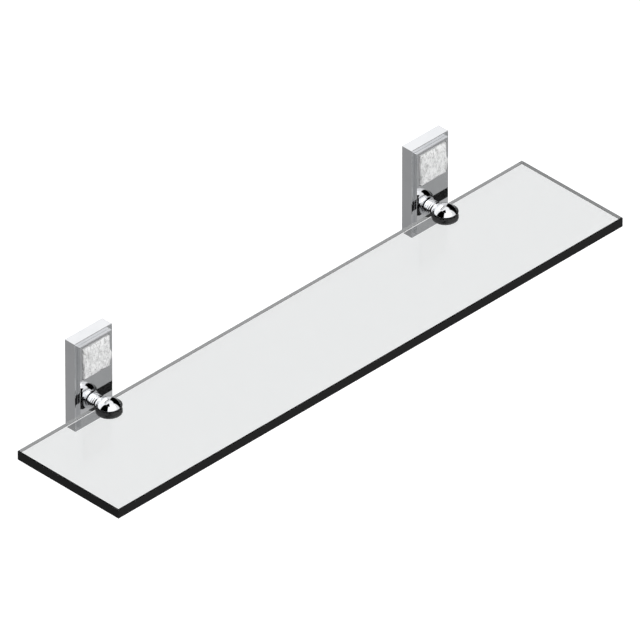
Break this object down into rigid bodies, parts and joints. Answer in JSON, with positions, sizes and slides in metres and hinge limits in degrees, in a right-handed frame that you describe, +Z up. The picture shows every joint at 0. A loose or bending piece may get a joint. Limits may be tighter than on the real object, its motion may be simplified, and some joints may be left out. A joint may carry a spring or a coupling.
{
  "type": "wall shelf with brackets",
  "caption": "Long glass wall shelf held by slotted balls on chromed rectangular wall brackets, each with a square cut-crystal tile on its front panel.",
  "frame": {"origin": "on the wall plane, midway between the two brackets, at the height of the glass's top surface", "axes": "+X along the shelf to the right of someone facing it, +Y into the wall, +Z up; the shelf stands out towards -Y"},
  "size_m": [0.6, 0.1427, 0.095],
  "materials": {
    "shelf_glass": "clear float glass, polished edges",
    "chrome": "mirror-polished chrome plate on brass",
    "zinc_steel": "bright zinc-plated steel",
    "crystal": "cut and frosted lead crystal",
    "dark_rubber": "matt black rubber",
    "clear_film": "clear soft vinyl"
  },
  "bodies": {
    "root": {"glass_shelf": "shelf_glass", "left_wall_plate": "zinc_steel", "left_casing": "chrome", "left_casing_lock_screw": "zinc_steel", "left_front_panel": "chrome", "left_panel_screw_upper": "zinc_steel", "left_panel_screw_lower": "zinc_steel", "left_crystal_pad": "clear_film", "left_crystal_tile": "crystal", "left_base_collar": "chrome", "left_ball_clamp": "chrome", "left_spigot_washer": "zinc_steel", "left_spigot_nut": "zinc_steel", "left_upper_jaw_film": "clear_film", "left_lower_jaw_pad": "dark_rubber", "left_clamp_screw": "zinc_steel", "right_wall_plate": "zinc_steel", "right_casing": "chrome", "right_casing_lock_screw": "zinc_steel", "right_front_panel": "chrome", "right_panel_screw_upper": "zinc_steel", "right_panel_screw_lower": "zinc_steel", "right_crystal_pad": "clear_film", "right_crystal_tile": "crystal", "right_base_collar": "chrome", "right_ball_clamp": "chrome", "right_spigot_washer": "zinc_steel", "right_spigot_nut": "zinc_steel", "right_upper_jaw_film": "clear_film", "right_lower_jaw_pad": "dark_rubber", "right_clamp_screw": "zinc_steel"}
  },
  "joints": []
}
